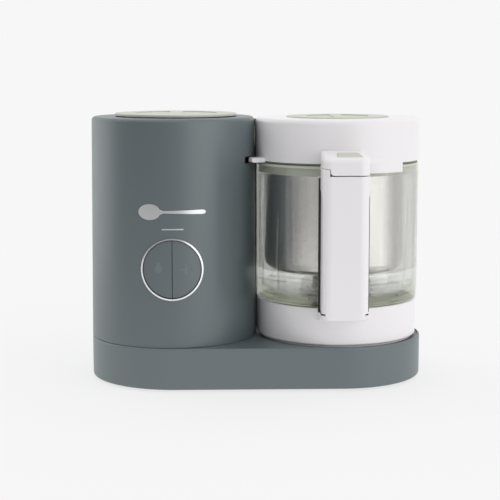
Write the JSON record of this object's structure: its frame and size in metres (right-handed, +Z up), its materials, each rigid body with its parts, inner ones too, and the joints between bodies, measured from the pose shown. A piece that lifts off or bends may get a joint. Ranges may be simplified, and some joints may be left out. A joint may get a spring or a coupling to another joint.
{
  "type": "baby food maker",
  "caption": "Countertop steamer and blender for baby food: a round slate column with water tank and motor beside a lidded glass jug with a steel basket, on one low base.",
  "frame": {"origin": "on the table, at the centre of the base's footprint", "axes": "+X from the column to the jug, +Y from the user's side with the handle to the back, +Z up"},
  "size_m": [0.28, 0.1824, 0.224],
  "materials": {
    "slate_plastic": "soft-touch matt",
    "tray_plastic": "fine matt",
    "white_plastic": "satin white",
    "sage_plastic": "satin sage green",
    "sage_rubber": "matt sage silicone",
    "glass": "clear, faintly green",
    "steel": "brushed",
    "blade_steel": "polished edge",
    "chrome": "polished",
    "black_plastic": "matt",
    "rubber": "matt",
    "belt_rubber": "ribbed",
    "screw_steel": "zinc plated",
    "aluminium": "cast",
    "laminate": "stacked steel laminations",
    "motor_steel": "drawn can",
    "board": "solder mask",
    "grey_plastic": "natural moulding",
    "bronze": "sintered bronze"
  },
  "bodies": {
    "base": {"base_shell": "tray_plastic", "bottom_cover": "tray_plastic", "rubber_feet": "rubber", "bottom_screws": "screw_steel", "cord_gland": "rubber", "terminal_block": "grey_plastic", "drive_belt": "belt_rubber", "spindle_housing": "aluminium", "spindle_bearings": "bronze", "column_shell": "slate_plastic", "chassis": "grey_plastic", "motor_can": "motor_steel", "motor_end_cap": "black_plastic", "stator_core": "laminate", "boiler_tank": "steel", "tank_gasket": "sage_rubber", "heater_plate": "aluminium", "heater_element": "motor_steel", "thermostats": "black_plastic", "steam_pipe": "sage_rubber", "steam_outlet": "sage_rubber", "button_ring": "chrome", "button_carrier": "black_plastic", "control_board": "board", "micro_switches": "black_plastic", "lid_sensor": "black_plastic", "button_domes": "sage_rubber"},
    "rotor": {"motor_rotor": "laminate", "cooling_fan": "black_plastic", "motor_pulley": "aluminium"},
    "output": {"output_pulley": "black_plastic", "output_spindle": "screw_steel", "drive_coupler": "black_plastic"},
    "steam_key": {"steam_button": "slate_plastic"},
    "blend_key": {"blend_button": "slate_plastic"},
    "tank_plug": {"tank_lid_plug": "white_plastic", "tank_lid_seal": "sage_rubber"},
    "tank_grip": {"tank_lid_grip": "sage_plastic"},
    "jug": {"glass_bowl": "glass", "jug_collar": "white_plastic", "grip_shell": "white_plastic", "grip_cover": "black_plastic", "grip_screws": "screw_steel", "blade_bushing": "black_plastic", "jug_gaskets": "sage_rubber", "bushing_nut": "grey_plastic"},
    "blade": {"blade_shaft": "screw_steel", "blade_hub": "black_plastic", "lower_blades": "blade_steel", "upper_blades": "blade_steel", "blade_coupling": "black_plastic"},
    "basket": {"basket_cup": "steel", "basket_band": "sage_plastic"},
    "seal_ring": {"lid_seal": "sage_rubber"},
    "lid": {"lid_cover": "white_plastic", "lid_inner": "white_plastic", "release_dome": "sage_rubber"},
    "cap": {"filler_cap": "sage_plastic", "filler_cap_seal": "sage_rubber"},
    "release": {"release_button": "sage_plastic"}
  },
  "joints": [
    {"name": "motor_spin", "type": "hinge", "parent": "base", "child": "rotor", "pos_m": [-0.074, 0.01, 0.07], "axis": [0, 0, 1], "continuous": true},
    {"name": "output_spin", "type": "hinge", "parent": "base", "child": "output", "pos_m": [0.0683, 0, 0.02], "axis": [0, 0, 1], "continuous": true},
    {"name": "steam_press", "type": "slide", "parent": "base", "child": "steam_key", "axis": [0, 1, 0], "range_m": [0, 0.0015], "stiffness_N_per_m": 400},
    {"name": "blend_press", "type": "slide", "parent": "base", "child": "blend_key", "axis": [0, 1, 0], "range_m": [0, 0.0015], "stiffness_N_per_m": 400},
    {"name": "tank_plug_lift", "type": "slide", "parent": "base", "child": "tank_plug", "axis": [0, 0, 1], "range_m": [0, 0.045]},
    {"name": "tank_grip_turn", "type": "hinge", "parent": "tank_plug", "child": "tank_grip", "pos_m": [-0.0678, 0, 0.22], "axis": [0, 0, 1], "range_deg": [0, 60]},
    {"name": "jug_lift", "type": "slide", "parent": "base", "child": "jug", "axis": [0, 0, 1], "range_m": [0, 0.06]},
    {"name": "blade_spin", "type": "hinge", "parent": "jug", "child": "blade", "pos_m": [0.0683, 0, 0.08], "axis": [0, 0, 1], "continuous": true},
    {"name": "basket_lift", "type": "slide", "parent": "jug", "child": "basket", "axis": [0, 0, 1], "range_m": [0, 0.105]},
    {"name": "lid_lift", "type": "slide", "parent": "basket", "child": "seal_ring", "axis": [0, 0, 1], "range_m": [0, 0.05]},
    {"name": "lid_turn", "type": "hinge", "parent": "seal_ring", "child": "lid", "pos_m": [0.0683, 0, 0.19], "axis": [0, 0, 1], "range_deg": [0, 30]},
    {"name": "cap_lift", "type": "slide", "parent": "lid", "child": "cap", "axis": [0, 0, 1], "range_m": [0, 0.025]},
    {"name": "release_press", "type": "slide", "parent": "lid", "child": "release", "axis": [0, 0, -1], "range_m": [0, 0.002], "stiffness_N_per_m": 400, "deforming": ["release_dome"]}
  ],
  "couplings": [
    {"joint": "output_spin", "follows": "motor_spin", "ratio": 0.5},
    {"joint": "blade_spin", "follows": "motor_spin", "ratio": 0.5}
  ]
}
